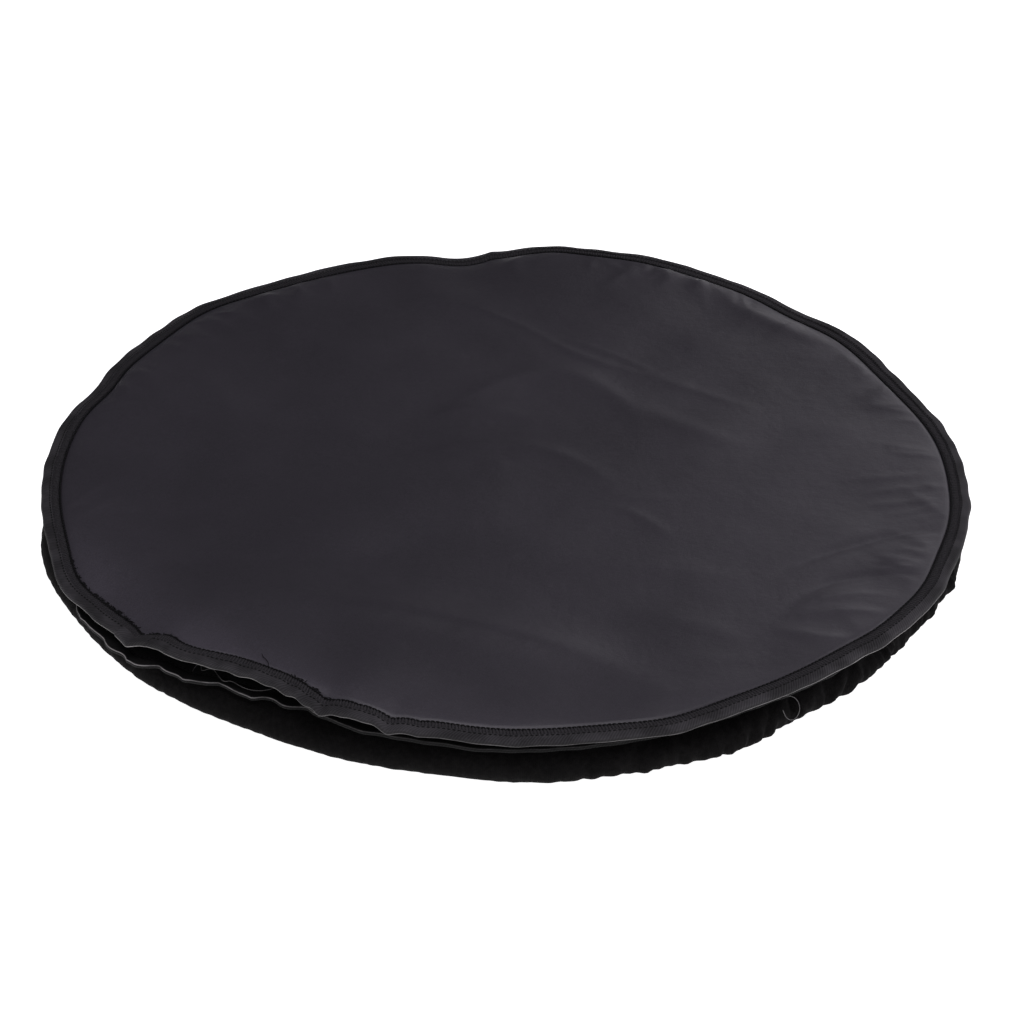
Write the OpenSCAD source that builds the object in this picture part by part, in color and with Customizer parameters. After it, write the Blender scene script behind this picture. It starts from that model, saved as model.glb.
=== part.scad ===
// Soft spare tyre cover, folded flat: the front panel lies on its own side band, which is
// folded inwards, over the gathered back skirt with its elastic hem. Millimetres, +Z up,
// origin on the floor under the middle of the panel.

/* [Wheel] */
// Diameter of the tyre that the cover fits, and of the front seam line
tyre_d = 686; // [600:1:860]
// Relaxed diameter of the elastic opening at the back
opening_d = 492; // [380:1:500]

/* [Front panel] */
// Thickness of the coated outer ply
ply_t = 0.8; // [0.5:0.1:1.5]
// Thickness of the wadding under the outer ply
wadding_t = 2.4; // [1.2:0.2:4]
// Thickness of the lining
lining_t = 0.6; // [0.4:0.1:0.8]

/* [Edge finish] */
// Width of the front seam flange, from the seam line to the folded tape edge
front_flange_w = 15; // [12:1:20]
// Width of the back seam flange
rear_flange_w = 11; // [10:1:14]
// Width of binding tape that shows on each side of a flange
tape_w = 8; // [6:0.5:9]
// Thickness of the binding tape
tape_t = 0.7; // [0.4:0.1:1.0]
// Thickness of the layer of overlock thread on a raw edge
overlock_t = 0.3; // [0.2:0.1:0.5]
// Diameter of the sewing thread
thread_d = 0.8; // [0.4:0.1:1.0]

/* [Side band] */
// Width of the side band, from the front seam to the back seam
band_w = 170; // [140:2:190]
// Thickness of the side band
band_t = 0.8; // [0.5:0.1:1.2]
// Height of the slit between the two folded flanges
slit_h = 7.1; // [6:0.1:12]

/* [Back skirt] */
// Height of the skirt wall, from the floor to the back flange
wall_h = 28; // [22:1:40]
// How far the soft wall bulges out past the back seam
bulge = 8.5; // [6:0.5:10]
// Thickness of the skirt fabric
skirt_t = 0.9; // [0.5:0.1:1.2]

/* [Elastic hem] */
// Width of the hem casing
casing_w = 16; // [14:1:22]
// Height of the gathered hem casing
casing_h = 8; // [7:0.5:12]
// Width of the elastic band
elastic_w = 10; // [8:0.5:11]
// Thickness of the elastic band
elastic_t = 1.2; // [0.8:0.1:1.8]
// Overlap of the elastic where its ends are sewn together
elastic_lap = 30; // [20:1:50]

/* [Hidden] */
$fn = 180;

coated_black = [0.19, 0.185, 0.20];
tape_black = [0.13, 0.125, 0.13];
thread_black = [0.05, 0.05, 0.055];
skirt_black = [0.06, 0.06, 0.06];
lining_grey = [0.20, 0.20, 0.21];
wadding_white = [0.80, 0.80, 0.78];
elastic_white = [0.85, 0.85, 0.83];

fold_gap = 0.2;        // play between the turned tape and the edge inside it
crease_gap = 0.4;      // play between the two halves of the folded band
turn_r = 0.9;          // distance from a seam line to where its fabric turns down
corner_r = 1.2;        // rounding of the hem casing

// Front seam: radii and the levels of its layers, from the underside up
seam_r = tyre_d / 2;
front_r = seam_r + front_flange_w;
front_core_r = front_r - tape_t - overlock_t - 2 * fold_gap;
front_core_t = band_t + lining_t + ply_t;

// Back seam
rear_seam_r = seam_r - 2;
rear_r = rear_seam_r + rear_flange_w;
rear_core_r = rear_r - tape_t - overlock_t - 2 * fold_gap;
rear_core_t = skirt_t + band_t;
rear_core_z = wall_h + tape_t + overlock_t;
rear_top = rear_core_z + rear_core_t + overlock_t + tape_t;

front_z = rear_top + slit_h;
front_core_z = front_z + tape_t + overlock_t;
ply_z = front_core_z + band_t + lining_t;
top_z = front_core_z + front_core_t;
lining_z = ply_z - wadding_t - lining_t;

// The band folds in half, with its crease this far from the axis
crease_r = seam_r - band_w / 2 - 2;
crease_z = (rear_core_z + skirt_t + front_core_z) / 2 - 1;

opening_r = opening_d / 2;
casing_r = opening_r + casing_w;

// Offset of each point of an open path by d to its left, with mitred corners
function unit(v) = v / norm(v);
function left(a, b) = let (u = unit(b - a)) [-u[1], u[0]];
function beside(p, d) = [for (i = [0 : len(p) - 1])
    let (n1 = left(p[max(i - 1, 0)], p[max(i, 1)]),
         n2 = left(p[min(i, len(p) - 2)], p[min(i + 1, len(p) - 1)]))
    p[i] + (n1 + n2) / (1 + n1 * n2) * d];
function backwards(p) = [for (i = [len(p) - 1 : -1 : 0]) p[i]];

// A sheet of cloth that follows a path of [radius, height] points round the axis
module cloth_ring(path, t)
    rotate_extrude() polygon(concat(beside(path, t / 2), backwards(beside(path, -t / 2))));

// Tape or thread folded round a raw edge: a U that opens towards the axis
module folded_round(r_in, r_out, z_low, z_high, t)
    rotate_extrude() polygon([
        [r_in, z_low], [r_out, z_low], [r_out, z_high], [r_in, z_high],
        [r_in, z_high - t], [r_out - t, z_high - t], [r_out - t, z_low + t], [r_in, z_low + t]]);

// Low ridge of thread on a face: dir 1 stands up from it and -1 hangs below it
module stitch_profile(dir)
    polygon([[-thread_d / 2, 0], [thread_d / 2, 0],
             [thread_d / 4, dir * thread_d / 2], [-thread_d / 4, dir * thread_d / 2]]);

module stitch_ring(r, z, dir)
    rotate_extrude() translate([r, z]) stitch_profile(dir);

// ---- Front: panel, its edge and the half of the band that rises with it ----

module front_panel()
    color(coated_black) translate([0, 0, ply_z]) cylinder(r = front_core_r, h = ply_t);

module panel_wadding()
    color(wadding_white) translate([0, 0, ply_z - wadding_t])
        cylinder(r = seam_r - 2.5, h = wadding_t);

module panel_lining()
    color(lining_grey)
        cloth_ring([[0, lining_z + lining_t / 2], [seam_r - 2, lining_z + lining_t / 2],
                    [seam_r - 0.3, ply_z - lining_t / 2], [front_core_r, ply_z - lining_t / 2]],
                   lining_t);

module front_overlock()
    color(thread_black)
        folded_round(seam_r + 1.5, front_core_r + fold_gap + overlock_t,
                     front_core_z - overlock_t, top_z + overlock_t, overlock_t);

module front_binding()
    color(tape_black)
        folded_round(front_r - tape_w, front_r, front_z, top_z + overlock_t + tape_t, tape_t);

module front_seam_stitch()
    color(thread_black) stitch_ring(seam_r + 0.9, top_z, 1);

module front_topstitch()
    color(thread_black) {
        stitch_ring(front_r - tape_w + 1, top_z + overlock_t + tape_t, 1);
        stitch_ring(front_r - tape_w + 1, front_z, -1);
    }

module sidewall_upper()
    color(coated_black)
        cloth_ring([[crease_r, crease_z + (band_t + crease_gap) / 2],
                    [seam_r + turn_r, lining_z - 0.8],
                    [seam_r + turn_r, front_core_z + band_t / 2],
                    [front_core_r, front_core_z + band_t / 2]], band_t);

// ---- Rear: the other half of the band, the back seam, the skirt and its hem ----

module sidewall_lower()
    color(coated_black)
        cloth_ring([[crease_r, crease_z - (band_t + crease_gap) / 2],
                    [rear_seam_r - 1, rear_core_z + skirt_t + band_t / 2],
                    [rear_core_r, rear_core_z + skirt_t + band_t / 2]], band_t);

module rear_overlock()
    color(thread_black)
        folded_round(rear_seam_r + 1.4, rear_core_r + fold_gap + overlock_t,
                     rear_core_z - overlock_t, rear_core_z + rear_core_t + overlock_t, overlock_t);

module rear_binding()
    color(tape_black) folded_round(rear_r - tape_w, rear_r, wall_h, rear_top, tape_t);

module rear_seam_stitch()
    color(thread_black) stitch_ring(rear_seam_r + 0.5, rear_core_z + rear_core_t, 1);

module rear_topstitch()
    color(thread_black) {
        stitch_ring(rear_r - tape_w + 1, rear_top, 1);
        stitch_ring(rear_r - tape_w + 1, wall_h, -1);
    }

// The wall hangs from the back seam, bulges, and turns under on the floor
module skirt_wall()
    color(skirt_black)
        cloth_ring([[rear_core_r, rear_core_z + skirt_t / 2],
                    [rear_seam_r + 0.5, rear_core_z + skirt_t / 2],
                    [rear_seam_r + 0.5, wall_h - 0.8],
                    [rear_seam_r + bulge * 0.45, wall_h * 0.84],
                    [rear_seam_r + bulge * 0.84, wall_h * 0.66],
                    [rear_seam_r + bulge, wall_h * 0.42],
                    [rear_seam_r + bulge, wall_h * 0.2],
                    [rear_seam_r + bulge * 0.7, wall_h * 0.07],
                    [rear_seam_r + bulge * 0.3, skirt_t / 2],
                    [rear_seam_r, skirt_t / 2]], skirt_t);

module skirt_underside()
    color(skirt_black)
        rotate_extrude() translate([casing_r, 0])
            square([rear_seam_r - casing_r, skirt_t]);

// The seam where the two ends of the skirt strip are joined
module skirt_join_stitch()
    color(thread_black) rotate([0, 0, 140])
        translate([casing_r + 6, 0, skirt_t]) rotate([90, 0, 90])
            linear_extrude(rear_seam_r - casing_r - 14) stitch_profile(1);

// Section of the casing: rounded outside, with a flat channel for the elastic
module casing_section(w, h, r)
    union() {
        translate([0, r]) square([w, h - 2 * r]);
        translate([r, 0]) square([w - 2 * r, h]);
        for (x = [r, w - r], y = [r, h - r]) translate([x, y]) circle(r = r, $fn = 24);
    }

module hem_casing()
    color(skirt_black)
        rotate_extrude() translate([opening_r, 0]) difference() {
            casing_section(casing_w, casing_h, corner_r);
            translate([(casing_w - elastic_w) / 2 - 0.5, casing_h / 2 - elastic_t - 0.5])
                square([elastic_w + 1, 2 * elastic_t + 1.6]);
        }

module hem_stitch()
    color(thread_black) stitch_ring(casing_r + 2, skirt_t, 1);

// One loop of woven elastic, its ends lapped and sewn
module elastic_band()
    color(elastic_white) {
        translate([0, 0, casing_h / 2 - elastic_t]) {
            rotate_extrude() translate([opening_r + (casing_w - elastic_w) / 2, 0])
                square([elastic_w, elastic_t]);
            rotate_extrude(angle = elastic_lap / opening_r * 180 / PI)
                translate([opening_r + (casing_w - elastic_w) / 2, 0])
                    square([elastic_w, 2 * elastic_t]);
        }
    }

// Rows of bartack thread across the lapped ends
module elastic_bartack()
    color(thread_black)
        for (step = [0.2 : 0.2 : 0.8])
            rotate([0, 0, step * elastic_lap / opening_r * 180 / PI])
                translate([opening_r + (casing_w - elastic_w) / 2 + 1, 0, casing_h / 2 + elastic_t])
                    rotate([90, 0, 90]) linear_extrude(elastic_w - 2) stitch_profile(1);

front_panel();
panel_wadding();
panel_lining();
front_overlock();
front_binding();
front_seam_stitch();
front_topstitch();
sidewall_upper();
sidewall_lower();
rear_overlock();
rear_binding();
rear_seam_stitch();
rear_topstitch();
skirt_wall();
skirt_underside();
skirt_join_stitch();
hem_casing();
hem_stitch();
elastic_band();
elastic_bartack();
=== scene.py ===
"""Looks of a soft spare tire cover that lies folded flat: a coated front panel, taped seams, a side
band folded inwards and a gathered back skirt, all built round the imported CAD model."""
import math

import bpy
import numpy as np
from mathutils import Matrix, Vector


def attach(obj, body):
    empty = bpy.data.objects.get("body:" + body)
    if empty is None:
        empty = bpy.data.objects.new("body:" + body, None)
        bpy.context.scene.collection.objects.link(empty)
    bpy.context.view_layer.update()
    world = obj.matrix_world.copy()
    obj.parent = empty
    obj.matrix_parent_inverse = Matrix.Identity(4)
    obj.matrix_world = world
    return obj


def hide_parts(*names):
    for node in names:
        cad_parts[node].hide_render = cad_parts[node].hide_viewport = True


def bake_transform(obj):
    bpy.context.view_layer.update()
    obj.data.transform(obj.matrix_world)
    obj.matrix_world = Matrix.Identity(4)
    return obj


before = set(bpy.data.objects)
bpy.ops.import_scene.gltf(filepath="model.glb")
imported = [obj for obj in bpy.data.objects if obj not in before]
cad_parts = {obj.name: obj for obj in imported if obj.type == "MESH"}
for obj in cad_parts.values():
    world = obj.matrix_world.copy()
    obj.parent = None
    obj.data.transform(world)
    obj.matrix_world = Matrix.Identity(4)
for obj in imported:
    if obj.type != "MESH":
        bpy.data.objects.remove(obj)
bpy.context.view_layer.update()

bl_info = {
    "name": "Folded spare tire cover",
    "version": (1, 0, 0),
    "blender": (4, 5, 0),
    "location": "3D View > Sidebar > Tire cover",
    "description": "Builds a soft spare tire cover that lies folded flat",
    "category": "Add Mesh",
}

MM = 0.001
TAU = 2 * math.pi


# ---- Levels and radii read from the CAD pieces ----

def reach(node):
    """Lowest and highest radius from the axis, and lowest and highest height, of a CAD piece."""
    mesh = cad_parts[node].data
    points = np.empty(len(mesh.vertices) * 3, np.float32)
    mesh.vertices.foreach_get("co", points)
    points = points.reshape(-1, 3)
    radius = np.hypot(points[:, 0], points[:, 1])
    return radius.min(), radius.max(), points[:, 2].min(), points[:, 2].max()


FRONT_TAPE = reach("front_binding")
REAR_TAPE = reach("rear_binding")
FRONT_EDGE = FRONT_TAPE[1]                          # folded edge of the front tape
REAR_EDGE = REAR_TAPE[1]
FRONT_MID = (FRONT_TAPE[2] + FRONT_TAPE[3]) / 2     # middle level of the front flange
REAR_MID = (REAR_TAPE[2] + REAR_TAPE[3]) / 2
FRONT_SEAM = reach("front_seam_stitch")[0] - 0.5 * MM
REAR_SEAM = reach("rear_seam_stitch")[0] - 0.1 * MM
FRONT_FLANGE = FRONT_EDGE - FRONT_SEAM
REAR_FLANGE = REAR_EDGE - REAR_SEAM
PLY_TOP = reach("front_panel")[3]
LINING_LOW = reach("panel_lining")[2]
CREASE = reach("sidewall_upper")[0]
CREASE_MID = (reach("sidewall_upper")[2] + reach("sidewall_lower")[3]) / 2
WALL_TOP = REAR_TAPE[2]
CASING_IN, CASING_OUT, _, CASING_TOP = reach("hem_casing")

# Sizes of the cloths
PANEL_EDGE = FRONT_EDGE - 1.9 * MM                  # cut edge of the panel's plies, inside the tape
WADDING_EDGE = FRONT_SEAM - 4 * MM                  # where the wadding thins out to an edge
FLANGE_LINING = 41.1 * MM                           # level of the lining inside the flange
PLY_THICKNESS, LINING_THICKNESS, TAPE_THICKNESS = 0.75 * MM, 0.5 * MM, 0.6 * MM
FLANGE_TUCK = 2.2 * MM                              # from the tape's fold to the edges in the flange
HALF_CLOTH = 0.4 * MM                               # half thickness of the band and the skirt
BAND_TURN = 2 * MM                                  # how far the band's crease lies outside the CAD's
SKIRT_WIDTH, SKIRT_FULLNESS = 0.158, 1.08
LOOSE_RADIUS = 0.28 * MM                            # half thickness of a loose thread

# Where a rim leaves its circle: azimuth, half width (degrees), outward, upward (mm), sharpness
FRONT_RIM = [
    (22, 13, -10, 0, 2), (44, 7, -6, -1, 2), (72, 10, 1, 5, 2), (83, 5, 4, 2, 2),
    (96, 6, -12, -2.5, 2), (136, 8, 8, 0, 2), (161, 5, -5, 0, 2), (208, 7, 7, 0, 2),
    (236, 12.5, -2, 9.6, 5), (240, 8.5, -14, 0, 3), (252.2, 3.6, -4, 4.6, 2), (258, 9, -2.5, 4, 2.4),
    (289, 6, 5, 0, 2), (320, 5, 3, 0, 2), (330, 8, 6, 0, 2), (346, 8, 3, 0, 2),
    (222, 1.3, 3, -1.5, 1.3), (249, 1.2, 2, -1.4, 1.3), (226, 2, -3, 1, 2), (92, 2.0, 3, 1, 1.2),
    (257.2, 1.2, 2, -1.6, 1.3), (253, 1.0, 1.2, -0.6, 1.3), (260.5, 1.0, 1.2, -0.6, 1.3),
]
REAR_RIM = [
    (217, 9.5, 10, -3, 3), (243, 11, -15.5, 0.6, 2.6), (260, 6, -5, 0.6, 2), (300, 12, -4, -1, 2),
    (335, 12, -3, 0, 2), (20, 14, -6, 0, 2), (96, 8, -7, 0, 2), (160, 8, -4, 0, 2),
    (212, 1.0, 3, 0.4, 1.2), (217, 1.2, -2, 0.5, 1.2), (222, 1.0, 3, -1.2, 1.2), (226, 1.2, -3, 0.5, 1.2),
    (230, 0.9, 2.5, -1.0, 1.2), (234, 1.0, -2, 0.3, 1.2), (239, 1.1, 3, -1.2, 1.2), (246, 1.2, -2, 0.4, 1.2),
]
# How far the foot of the skirt lies outside the back seam: azimuth, half width (degrees), outward
# (mm), an upward shift that isn't used, sharpness
SKIRT_FOOT = [
    (193, 13, 12, 0, 2), (228, 30, 4.5, 0, 4), (240, 13, -6, 0, 2), (275, 10, 8.5, 0, 2),
    (292, 9, 9, 0, 2), (299, 5, 5, 0, 2), (307, 5, 0, 0, 2), (316, 8, 4, 0, 2),
    (343, 12, 9, 0, 2), (20, 14, 5, 0, 2), (70, 12, 6, 0, 2),
    (120, 16, 7, 0, 2), (155, 10, 4, 0, 2),
]
# Soft creases of the panel: start x, y, end x, y, bow of the line, half width, height (mm)
CREASES = [
    (-28, 248, 33, 196, 2, 2.5, 1.0), (30, 196, 114, 133, -7, 3, 1.3), (56, 188, 125, 134, 2, 2.2, 0.8),
    (114, 133, 195, 81, 0, 5, 1.0), (-113, 253, -33, 250, 4, 3, 0.5), (-21, 106, 95, 88, 37, 12, 2.8),
    (95, 88, 177, 28, -2, 13, 2.6), (-58, 66, 14, 68, 11, 6, 1.4), (-45, 19, 75, -20, 21, 6, 1.7),
    (76, -56, 131, -56, 2, 4, 1.1), (88, -68, 122, -105, 3, 3, 1.2),
    (270, -27, 324, -20, 0, 3, 0.8), (278, -45, 332, -36, 1, 3, 0.8), (276, -63, 336, -55, 1, 3.5, 1.0),
    (210, -148, 329, -94, 7, 4.5, -2.0), (275, -113, 328, -105, 3, 3, 1.0),
    (211, -189, 303, -157, 13, 4, -1.6), (217, -197, 277, -183, 6, 4, 1.4),
    (206, -214, 270, -205, 4, 4, 1.7), (199, -230, 258, -239, -4, 4, 2.0),
    (-152, -197, 86, -283, 13, 17, 6.6), (-304, -72, -227, -85, 1, 9, -1.8),
    (-249, -144, -83, -150, 5, 9, -1.8), (-276, -160, -215, -205, -8, 20, 1.6),
    (37, -157, 165, -161, 9, 10, 1.1), (99, -213, 169, -244, 6, 12, 1.4),
    (126, 298, 149, 315, 2, 3, 0.8), (142, 293, 166, 309, 1, 3, 0.8), (161, 282, 186, 300, 1, 3, 0.9),
    (186, 263, 270, 183, -5, 9, 2.5), (279, 167, 306, 131, -2, 5, 0.9), (-261, 151, -211, 66, 2, 10, 1.1),
    (-185, 165, -148, 154, 3, 6, 0.6), (135, -268, 182, -262, 1, 8, 0.9), (98, -312, 142, -300, 1, 7, 0.7),
    (236, 240, 186, 214, 4, 9, 0.9), (318, 60, 240, 46, 4, 10, 0.7), (-202, 256, -186, 168, 5, 11, 0.6),
]
# How much higher and wider the puff beside the seam is: azimuth, half width (degrees), thousandths
# of its height, thousandths of its width, sharpness
PUFF_ROUND = [(-5, 42, -700, 0, 2), (90, 30, -300, 0, 2), (243, 42, 500, 2000, 3)]


# ---- Arrays: waves, rims and surfaces ----

def bumps(theta, places, share=1.0):
    """Outward and upward shift round a rim: a sum of bells exp(-|gap / half width| ** sharpness),
    one for each place, where the gap is the azimuth's distance from it. Inside the rim, at this
    share of its radius, each bell is multiplied by share ** (36 degrees / half width), and it gets
    wider and rounder."""
    azimuth, width, outward, upward, sharpness = np.array(places, float).T
    gap = (np.degrees(theta)[..., None] - azimuth + 180) % 360 - 180
    share = np.asarray(share)[..., None]
    rounder = 2 + (sharpness - 2) * share ** 24
    bell = np.exp(-np.abs(gap / (width * (4 - 3 * share))) ** rounder) * share ** (36 / width)
    return bell @ outward * MM, bell @ upward * MM


def ripple(theta, seed, low, high):
    """Even waviness round a ring: cosines with every whole number of waves from low to high, with
    seeded phases and sizes, divided by their root mean square."""
    rng = np.random.default_rng(seed)
    waves = np.arange(low, high + 1)
    phase = rng.uniform(0, TAU, len(waves))
    size = rng.uniform(0.4, 1.0, len(waves))
    total = np.cos(np.asarray(theta)[..., None] * waves + phase) @ size
    return total / math.sqrt((size ** 2).sum() / 2)


def swell(x, y, seed, count, shortest, longest):
    """Waviness of a plane: count sine waves of seeded direction, phase and length, of even weight."""
    rng = np.random.default_rng(seed)
    heading = rng.uniform(0, TAU, count)
    number = TAU / rng.uniform(shortest, longest, count)
    phase = rng.uniform(0, TAU, count)
    along = x[..., None] * np.cos(heading) + y[..., None] * np.sin(heading)
    return np.sin(along * number + phase).sum(-1) / math.sqrt(count / 2)


def pleats(theta, seed, count, unevenness):
    """Gathers round a ring, from 0 in the nips to 1 on the crests: the absolute cosine of half a
    phase that goes count times round, pushed to and fro by slow waves so that no two are alike."""
    phase = count * theta + unevenness * ripple(theta, seed, 3, max(count // 3, 5))
    return np.abs(np.cos(phase / 2)) ** 0.8


def smooth(value, start, end):
    """0 before start and 1 after end, with a smooth step between them."""
    t = np.clip((value - start) / (end - start), 0, 1)
    return t * t * (3 - 2 * t)


def unit(vectors):
    """The vectors, each scaled to a length of one."""
    return vectors / np.linalg.norm(vectors, axis=-1, keepdims=True)


def running_length(loop):
    """Length along a closed loop from its first point to each point, and back to the first."""
    steps = np.linalg.norm(np.diff(np.concatenate([loop, loop[:1]]), axis=0), axis=1)
    return np.concatenate([[0], np.cumsum(steps)])


def two_faces(middle, normal, half):
    """Closed sections of a cloth: half its thickness to one side of the middle on the way out, and
    to the other side on the way back."""
    return np.concatenate([middle + normal * half, (middle - normal * half)[:, ::-1]], axis=1)


def crease(x, y, line):
    """A soft fold along a bowed line: its height falls off as exp(-(root(q^2 + c^2) - c) / width)
    with the distance q from the line, and to nothing at both ends of it."""
    x0, y0, x1, y1, bow, width, height = (value * MM for value in line)
    length = math.hypot(x1 - x0, y1 - y0)
    ux, uy = (x1 - x0) / length, (y1 - y0) / length
    t = ((x - x0) * ux + (y - y0) * uy) / length
    q = -(x - x0) * uy + (y - y0) * ux - bow * 4 * t * (1 - t)
    core = min(width * 0.6, width ** 2 / (8 * MM))
    fall = np.exp(-(np.sqrt(q ** 2 + core ** 2) - core) / width)
    ramp = 0.2 + width / length
    return height * fall * smooth(t, -ramp, 0.4) * smooth(-t, -1 - ramp, -0.6)


def place_round(theta, radius, height):
    """Points at azimuth theta, radius and height, as an array of x, y, z."""
    return np.stack(np.broadcast_arrays(radius * np.cos(theta), radius * np.sin(theta), height), -1)


def front_flange(theta, rho, level):
    """Points on the front flange. rho is the radius before the rim is bent, and level the height
    above the flange's middle. The rim's shift is added, and the flange droops and waves more
    towards its outer edge."""
    outward, upward = bumps(theta, FRONT_RIM)
    out = np.clip((rho - FRONT_SEAM) / FRONT_FLANGE, 0, 1.2)
    untidy = 0.2 + 0.9 * np.exp(-((np.degrees(theta) % 360 - 236) / 22) ** 2)
    wave = 0.45 * ripple(theta, 3, 30, 70) + 0.28 * ripple(theta, 4, 90, 150) * untidy * 1.6
    droop = (-1.3 + 0.5 * ripple(theta, 5, 3, 14)) * out ** 1.5 + wave * untidy * 1.2 * out
    radius = rho + outward + 0.35 * MM * ripple(theta, 6, 24, 80) * out
    return place_round(theta, radius, FRONT_MID + upward + droop * MM + level)


def rear_flange(theta, rho, level):
    """Points on the back flange, placed as front_flange places them."""
    outward, upward = bumps(theta, REAR_RIM)
    out = np.clip((rho - REAR_SEAM) / REAR_FLANGE, 0, 1.2)
    untidy = 0.35 + 0.9 * np.exp(-((np.degrees(theta) % 360 - 232) / 20) ** 2)
    wave = 0.22 * ripple(theta, 13, 40, 110) * untidy
    radius = rho + outward + 0.9 * MM * ripple(theta, 14, 40, 110) * untidy * out
    return place_round(theta, radius, REAR_MID + upward + wave * out * MM + level)


def panel_height(x, y, rho, theta):
    """Height of the panel's outer face above its level at the seam. It rises from the seam as a
    puff, 1 - exp(-d / width) of the distance d from it, towards a low crown, and carries the soft
    creases, short puckers at the seam and a slow swell. A narrow groove runs along the seam."""
    shape = bpy.context.scene.cover_shape
    d = FRONT_SEAM - rho
    inner = np.clip(d, 0, None)
    share = np.clip(rho / FRONT_SEAM, 0, 1)
    more, wider = bumps(theta, PUFF_ROUND)
    puff = shape.panel_puff * (1 + more + 0.3 * ripple(theta, 21, 4, 18) * share ** 4)
    height = puff * (1 - np.exp(-inner / (9 * MM * (1 + wider))))
    height = height * (0.35 + 0.65 * np.exp(-inner / (70 * MM)))
    height = height + shape.panel_crown * (1 - share ** 2)
    fade = smooth(inner, 0, 12 * MM)
    for line in CREASES:
        height = height + crease(x, y, line) * fade
    rng = np.random.default_rng(7)
    busy = np.concatenate([rng.uniform(-28, 160, 44), rng.normal(64, 9, 14), rng.normal(140, 10, 8),
                           rng.normal(340, 11, 14), rng.uniform(125, 200, 12)])
    for azimuth in np.radians(busy):
        start, long = FRONT_SEAM - 2 * MM, rng.uniform(16, 46) * MM
        lean = azimuth + rng.normal(0, 0.06)
        ends = [start * math.cos(azimuth), start * math.sin(azimuth),
                (start - long) * math.cos(lean), (start - long) * math.sin(lean)]
        line = [value / MM for value in ends]
        line += [rng.normal(0, 1.5), rng.uniform(2.2, 5), rng.uniform(0.3, 0.9)]
        height = height + crease(x, y, line) * smooth(inner, 0, 4 * MM)
    height = height + 0.28 * MM * swell(x, y, 8, 26, 0.05, 0.17) * fade
    groove = -1.3 * MM * np.exp(-((d + 0.6 * MM) / (1.7 * MM)) ** 2)
    return height + groove


def disc(radii):
    """A square grid laid on a disc: its square rings become circles of the given radii, so no
    point is a pole. Returns the azimuth and radius at each grid point."""
    count = len(radii) - 1
    step = np.arange(-count, count + 1)
    u, v = np.meshgrid(step, step, indexing="ij")
    ring = np.maximum(np.abs(u), np.abs(v))
    safe = np.where(ring == 0, 1, ring)
    across = np.abs(u) >= np.abs(v)
    sideways = math.pi / 4 * v / np.where(across & (u != 0), u, 1) + np.pi * (u < 0)
    upright = math.pi / 2 - math.pi / 4 * u / np.where(across | (v == 0), 1, v) + np.pi * (v < 0)
    theta = np.where(across, sideways, upright)
    return theta * (safe == ring), np.asarray(radii)[ring]


def bent_disc(radii, lift):
    """The disc bent to the front rim: radii shift outwards and heights rise as the rim does, less
    and less towards the middle. lift(x, y, rho, theta) is the height over the seam level."""
    theta, rho = disc(radii)
    outward, upward = bumps(theta, FRONT_RIM, np.clip(rho / FRONT_SEAM, 0, 1))
    flange = front_flange(theta, np.maximum(rho, FRONT_SEAM), 0.0)
    droop = flange[..., 2] - FRONT_MID - upward
    radius = rho + outward
    x, y = radius * np.cos(theta), radius * np.sin(theta)
    return np.stack([x, y, upward + droop * (rho > FRONT_SEAM) + lift(x, y, rho, theta)], -1)


# ---- Meshes ----

def six_volumes(points, faces):
    """Six times the volume between the origin and the first four corners of each face."""
    a, b, c, d = (points[faces[:, corner]] for corner in range(4))
    return ((np.cross(b - a, c - a) + np.cross(c - a, d - a)) * a).sum()


def mesh_object(name, points, face_groups, material, uvs=None):
    """A smooth mesh from points and groups of faces, each group an array with one row a face.
    The faces are turned round if the volume inside them comes out negative."""
    points = np.asarray(points, float).reshape(-1, 3)
    inside = sum(six_volumes(points, group) for group in face_groups)
    if inside < 0:
        face_groups = [g[:, ::-1] for g in face_groups]
        uvs = None if uvs is None else [u[:, ::-1] for u in uvs]
    mesh = bpy.data.meshes.new(name)
    mesh.vertices.add(len(points))
    mesh.vertices.foreach_set("co", points.astype(np.float32).ravel())
    loops = np.concatenate([g.ravel() for g in face_groups])
    sizes = np.concatenate([np.full(len(g), g.shape[1]) for g in face_groups])
    mesh.loops.add(len(loops))
    mesh.loops.foreach_set("vertex_index", loops.astype(np.int32))
    mesh.polygons.add(len(sizes))
    mesh.polygons.foreach_set("loop_start", (np.cumsum(sizes) - sizes).astype(np.int32))
    if uvs is not None:
        flat = np.concatenate([u.reshape(-1, 2) for u in uvs])
        mesh.uv_layers.new(name="UVMap").data.foreach_set("uv", flat.astype(np.float32).ravel())
    mesh.update(calc_edges=True)
    mesh.validate()
    mesh.shade_smooth()
    mesh.materials.append(material)
    piece = bpy.data.objects.new(name, mesh)
    bpy.context.collection.objects.link(piece)
    return piece


def grid_faces(rows, columns, wrap_rows=False, wrap_columns=False):
    """Four-sided faces of a grid of points numbered row by row."""
    i = np.arange(rows if wrap_rows else rows - 1)
    j = np.arange(columns if wrap_columns else columns - 1)
    i, j = np.meshgrid(i, j, indexing="ij")
    i2, j2 = (i + 1) % rows, (j + 1) % columns
    corners = [i * columns + j, i2 * columns + j, i2 * columns + j2, i * columns + j2]
    return np.stack(corners, -1).reshape(-1, 4)


def length_map(run, girth):
    """UV corners of a ring's faces in real lengths: run is the length along it at each section, and
    girth the running length round the section."""
    i, j = np.meshgrid(np.arange(len(run) - 1), np.arange(len(girth) - 1), indexing="ij")
    u = np.stack([run[i], run[i + 1], run[i + 1], run[i]], -1)
    v = np.stack([girth[j], girth[j], girth[j + 1], girth[j + 1]], -1)
    return np.stack([u, v], -1).reshape(-1, 4, 2)


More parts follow.
